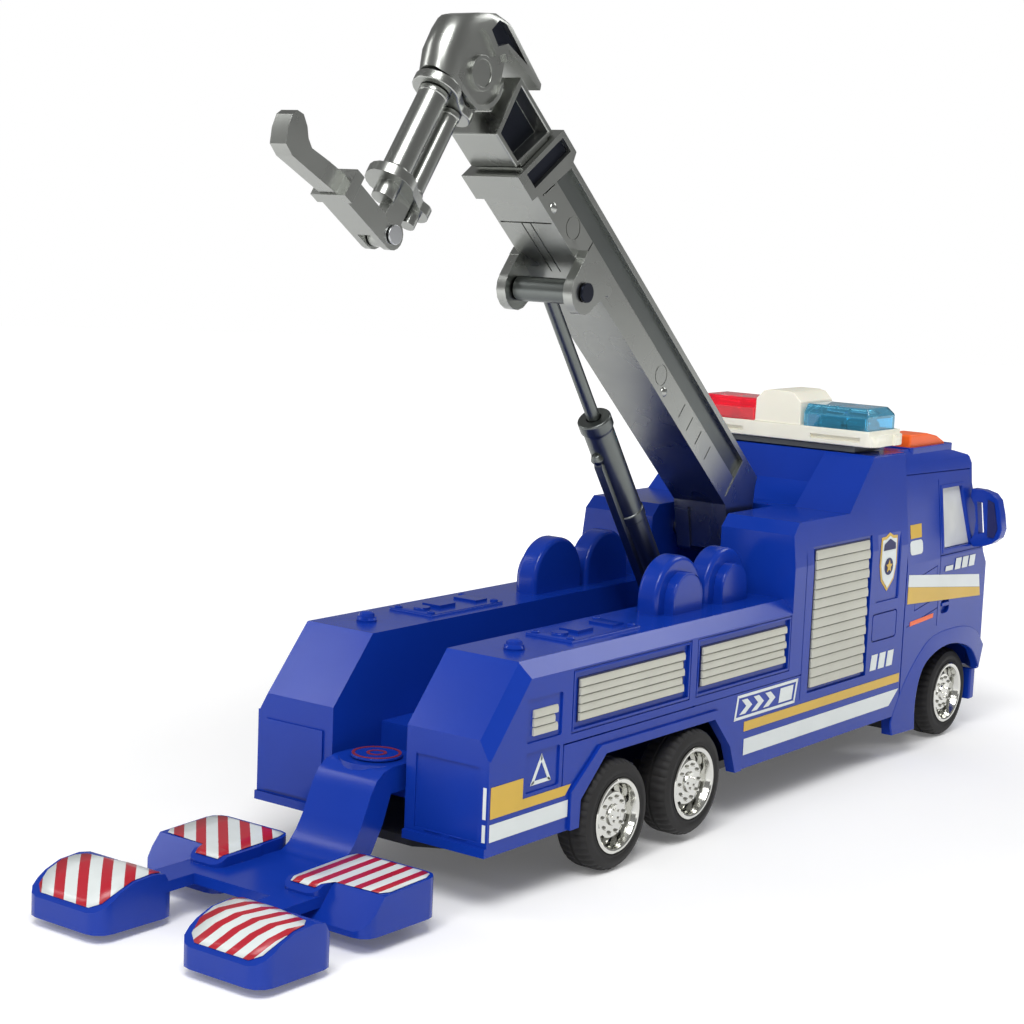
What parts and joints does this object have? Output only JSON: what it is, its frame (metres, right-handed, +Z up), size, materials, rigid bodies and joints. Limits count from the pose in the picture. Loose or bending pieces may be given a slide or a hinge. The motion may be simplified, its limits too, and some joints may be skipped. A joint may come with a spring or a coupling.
{
  "type": "toy tow truck",
  "caption": "Toy heavy recovery truck with a raising telescopic boom, a lifting fork on its head, a swinging wheel cradle behind, rolling wheels and a roof light bar.",
  "frame": {"origin": "middle of the bounding box's foot, on the floor the wheels stand on", "axes": "+X forward, +Y the truck's left, +Z up"},
  "size_m": [0.41, 0.114, 0.2516],
  "materials": {
    "blue_plastic": "moulded, semi-gloss",
    "black_plastic": "moulded, satin",
    "tyre_rubber": "soft tread rubber, matt",
    "plated_plastic": "silver vacuum plating, polished",
    "bright_plated_plastic": "bright silver plating, polished",
    "grey_plastic": "moulded, satin",
    "silver_print": "printed silver film",
    "cream_plastic": "moulded, satin",
    "red_lens": "clear moulding, polished",
    "blue_lens": "clear moulding, polished",
    "orange_plastic": "soft-touch, satin",
    "tinted_window": "tinted clear moulding",
    "steel_pin": "drawn",
    "white_print": "printed white film",
    "yellow_print": "printed yellow film",
    "red_print": "printed red film",
    "clear_lamp": "clear moulding, polished",
    "circuit_board": "coated laminate"
  },
  "bodies": {
    "truck": {"body_shell": "blue_plastic", "chassis": "black_plastic", "battery_cover": "black_plastic", "circuit_board": "circuit_board", "speaker": "black_plastic", "cab_shell": "blue_plastic", "windscreen": "tinted_window", "side_window_left": "silver_print", "side_window_right": "silver_print", "front_bumper": "black_plastic", "mirror_left": "blue_plastic", "mirror_right": "blue_plastic", "light_bar_foot": "grey_plastic", "light_bar_housing": "cream_plastic", "lens_left": "red_lens", "lens_right": "blue_lens", "reflector_left": "bright_plated_plastic", "reflector_right": "bright_plated_plastic", "shutter_left": "silver_print", "shutter_right": "silver_print", "louvre_rear_left": "silver_print", "louvre_rear_right": "silver_print", "louvre_front_left": "silver_print", "louvre_front_right": "silver_print", "boom_pin": "steel_pin", "ram_pin": "steel_pin", "cradle_pin": "blue_plastic"},
    "boom": {"boom_outer": "plated_plastic", "clevis_pin": "steel_pin"},
    "boom_stage": {"boom_inner": "plated_plastic", "head_pin": "steel_pin"},
    "head": {"boom_head": "plated_plastic", "hoist_top_flange": "plated_plastic", "hoist_post": "plated_plastic", "hoist_guide": "plated_plastic", "hoist_foot": "plated_plastic", "claw_pin": "steel_pin"},
    "hook": {"claw_hook": "plated_plastic"},
    "ram": {"ram_barrel": "plated_plastic"},
    "ram_piston": {"ram_rod": "bright_plated_plastic"},
    "cradle": {"wheel_cradle": "blue_plastic"},
    "button_left": {"roof_button_left": "orange_plastic"},
    "button_right": {"roof_button_right": "orange_plastic"},
    "wheels_rear": {"axle_rear": "steel_pin", "tyre_rear_left": "tyre_rubber", "tyre_rear_right": "tyre_rubber", "rim_rear_left": "bright_plated_plastic", "rim_rear_right": "bright_plated_plastic"},
    "wheels_middle": {"axle_middle": "steel_pin", "tyre_middle_left": "tyre_rubber", "tyre_middle_right": "tyre_rubber", "rim_middle_left": "bright_plated_plastic", "rim_middle_right": "bright_plated_plastic"},
    "wheels_front": {"axle_front": "steel_pin", "tyre_front_left": "tyre_rubber", "tyre_front_right": "tyre_rubber", "rim_front_left": "bright_plated_plastic", "rim_front_right": "bright_plated_plastic"}
  },
  "joints": [
    {"name": "spin_rear", "type": "hinge", "parent": "truck", "child": "wheels_rear", "pos_m": [-0.0545, 0, 0.017], "axis": [0, 1, 0], "continuous": true},
    {"name": "spin_middle", "type": "hinge", "parent": "truck", "child": "wheels_middle", "pos_m": [-0.0124, 0, 0.019], "axis": [0, 1, 0], "continuous": true},
    {"name": "spin_front", "type": "hinge", "parent": "truck", "child": "wheels_front", "pos_m": [0.1797, 0, 0.017], "axis": [0, 1, 0], "continuous": true},
    {"name": "boom_lift", "type": "hinge", "parent": "truck", "child": "boom", "pos_m": [0.0655, 0, 0.086], "axis": [0, 1, 0], "range_deg": [-34, 6]},
    {"name": "boom_extend", "type": "slide", "parent": "boom", "child": "boom_stage", "axis": [-0.7524, 0, 0.6587], "range_m": [0, 0.045]},
    {"name": "head_tilt", "type": "hinge", "parent": "boom_stage", "child": "head", "pos_m": [-0.082, 0, 0.23253], "axis": [0, 1, 0], "range_deg": [-16, 0]},
    {"name": "hook_tilt", "type": "hinge", "parent": "head", "child": "hook", "pos_m": [-0.11755, 0, 0.18623], "axis": [0, 1, 0], "range_deg": [-20, 10]},
    {"name": "ram_tilt", "type": "hinge", "parent": "truck", "child": "ram", "pos_m": [0.0471, 0, 0.0476], "axis": [0, 1, 0], "range_deg": [-33, 7]},
    {"name": "ram_stroke", "type": "slide", "parent": "ram", "child": "ram_piston", "axis": [-0.5718, 0, 0.8204], "range_m": [-0.025, 0.006]},
    {"name": "cradle_swing", "type": "hinge", "parent": "truck", "child": "cradle", "pos_m": [-0.112, 0, 0.033], "axis": [0, 0, 1], "range_deg": [-20, 20]},
    {"name": "press_left", "type": "slide", "parent": "truck", "child": "button_left", "axis": [0, 0, -1], "range_m": [0, 0.0015], "stiffness_N_per_m": 400, "springref_m": -0.0005},
    {"name": "press_right", "type": "slide", "parent": "truck", "child": "button_right", "axis": [0, 0, -1], "range_m": [0, 0.0015], "stiffness_N_per_m": 400, "springref_m": -0.0005}
  ],
  "couplings": [
    {"joint": "ram_tilt", "follows": "boom_lift", "ratio": 0.915},
    {"joint": "ram_stroke", "follows": "boom_lift", "m_per_rad": 0.03975}
  ]
}
